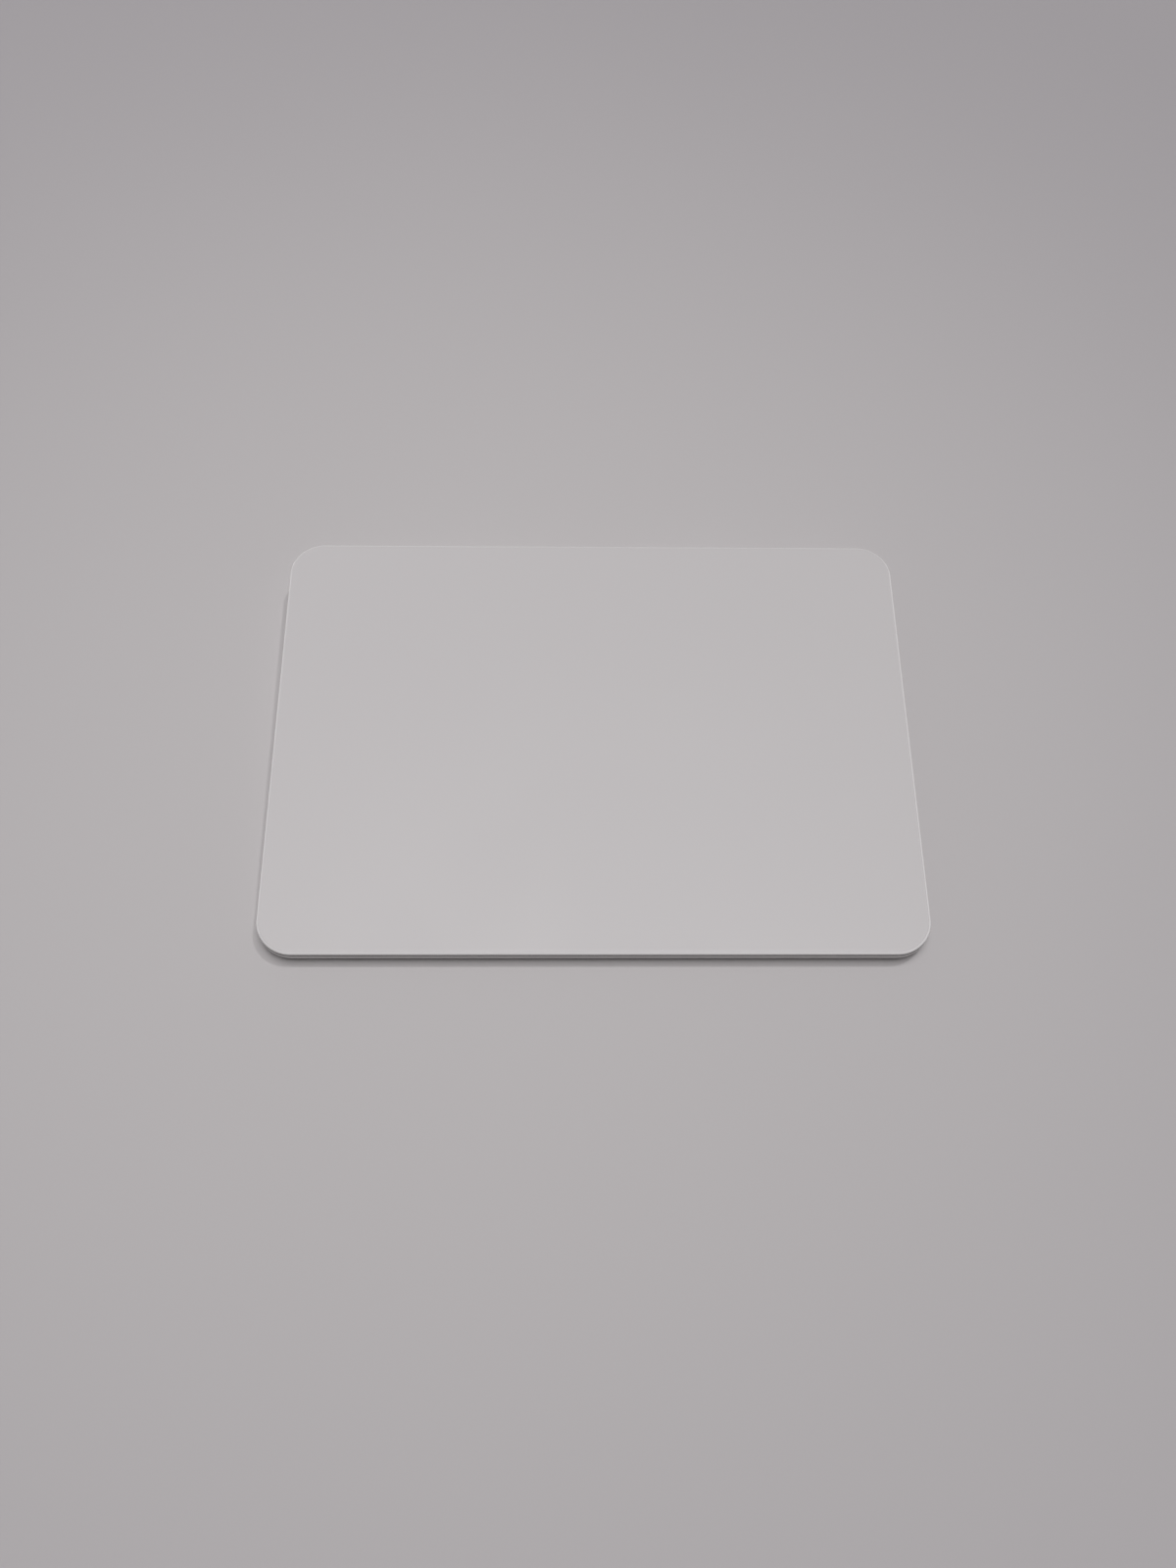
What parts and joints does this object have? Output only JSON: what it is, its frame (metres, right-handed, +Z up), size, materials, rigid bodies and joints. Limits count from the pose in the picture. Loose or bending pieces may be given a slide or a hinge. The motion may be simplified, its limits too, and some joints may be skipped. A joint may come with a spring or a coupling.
{
  "type": "trackpad",
  "caption": "Slim wireless desk trackpad: white glass touch plate floating over a metal wedge housing, with haptic press, charging port and power switch in the back.",
  "frame": {"origin": "on the desk, under the middle of the footprint", "axes": "+X to the user's right along the long side, +Y away from the user towards the thick back edge, +Z up"},
  "size_m": [0.16, 0.115, 0.0109],
  "materials": {
    "touch_white": "fine matt etched white glass",
    "anodised_aluminium": "fine bead-blasted, anodised silver",
    "cover_white": "satin moulded white",
    "foot_silicone": "soft pale silicone",
    "adhesive_film": "thin black foam adhesive",
    "clear_adhesive": "milky adhesive film",
    "circuit_board": "dark solder mask over glass fibre",
    "sheet_steel": "rolled stainless sheet",
    "spring_steel": "ground spring steel",
    "screw_steel": "small turned screws",
    "chip_epoxy": "matt moulded epoxy",
    "socket_plastic": "dark connector plastic",
    "gauge_film": "amber polyimide with foil grid",
    "gel": "soft translucent gel",
    "core_iron": "stacked iron sheets",
    "copper_wire": "enamelled copper wire",
    "flat_cable": "amber flexible circuit",
    "cell_pouch": "dark laminated pouch",
    "cell_nickel": "nickel strip",
    "pad_foam": "dense black foam",
    "small_ceramic": "fired ceramic with tinned ends",
    "port_steel": "drawn stainless shell",
    "tongue_plastic": "black moulded insulator",
    "contact_gold": "gold plated",
    "switch_white": "satin moulded, light grey",
    "on_green": "green printed film",
    "antenna_plastic": "pale moulded plastic",
    "antenna_copper": "etched copper foil"
  },
  "bodies": {
    "housing": {"gel_pads": "gel", "flexure_tabs": "sheet_steel", "tab_screws": "screw_steel", "housing": "anodised_aluminium", "bottom_cover": "cover_white", "cover_bond": "adhesive_film", "foot_bonds": "clear_adhesive", "haptic_bracket": "sheet_steel", "haptic_screws": "screw_steel", "haptic_core_left": "core_iron", "haptic_core_right": "core_iron", "haptic_coils": "copper_wire", "haptic_cable": "flat_cable", "haptic_socket": "socket_plastic", "battery_cell_left": "cell_pouch", "battery_cell_right": "cell_pouch", "battery_bond": "adhesive_film", "cell_tabs": "cell_nickel", "protection_board": "circuit_board", "protection_pads": "pad_foam", "battery_cable": "flat_cable", "battery_socket": "socket_plastic", "main_board": "circuit_board", "board_screws": "screw_steel", "shield_can": "sheet_steel", "processor_chip": "chip_epoxy", "board_chips": "chip_epoxy", "board_parts": "small_ceramic", "sensor_plug": "socket_plastic", "sensor_cable": "flat_cable", "port_shell": "port_steel", "port_tongue": "tongue_plastic", "port_contacts": "contact_gold", "port_strap": "sheet_steel", "port_screws": "screw_steel", "switch_body": "socket_plastic", "antenna_carrier": "antenna_plastic", "antenna_foil": "antenna_copper", "antenna_clip": "cell_nickel", "foot_front_left": "foot_silicone", "foot_front_right": "foot_silicone", "foot_back_left": "foot_silicone", "foot_back_right": "foot_silicone"},
    "flexure_set": {"flexure_front_left": "spring_steel", "flexure_front_right": "spring_steel", "flexure_back_left": "spring_steel", "flexure_back_right": "spring_steel", "strain_gauges": "gauge_film"},
    "touch_plate": {"touch_glass": "touch_white", "plate_bond": "clear_adhesive", "sensor_board": "circuit_board", "stiffener_bond": "clear_adhesive", "stiffener": "sheet_steel", "touch_chips": "chip_epoxy", "sensor_socket": "socket_plastic", "armature": "core_iron", "armature_screws": "screw_steel", "flexure_rivets": "screw_steel"},
    "power_slider": {"switch_slider": "switch_white", "switch_on_strip": "on_green"}
  },
  "joints": [
    {"name": "haptic_shift", "type": "slide", "parent": "housing", "child": "flexure_set", "axis": [1, 0, 0], "range_m": [-0.00015, 0.00015], "stiffness_N_per_m": 40000},
    {"name": "plate_press", "type": "slide", "parent": "flexure_set", "child": "touch_plate", "axis": [0, 0.0521, -0.9986], "range_m": [0, 0.0002], "stiffness_N_per_m": 25000, "springref_m": -0.0001, "deforming": ["flexure_front_left", "flexure_front_right", "flexure_back_left", "flexure_back_right", "strain_gauges", "sensor_cable"]},
    {"name": "power_switch", "type": "slide", "parent": "housing", "child": "power_slider", "axis": [1, 0, 0], "range_m": [0, 0.0024]}
  ]
}
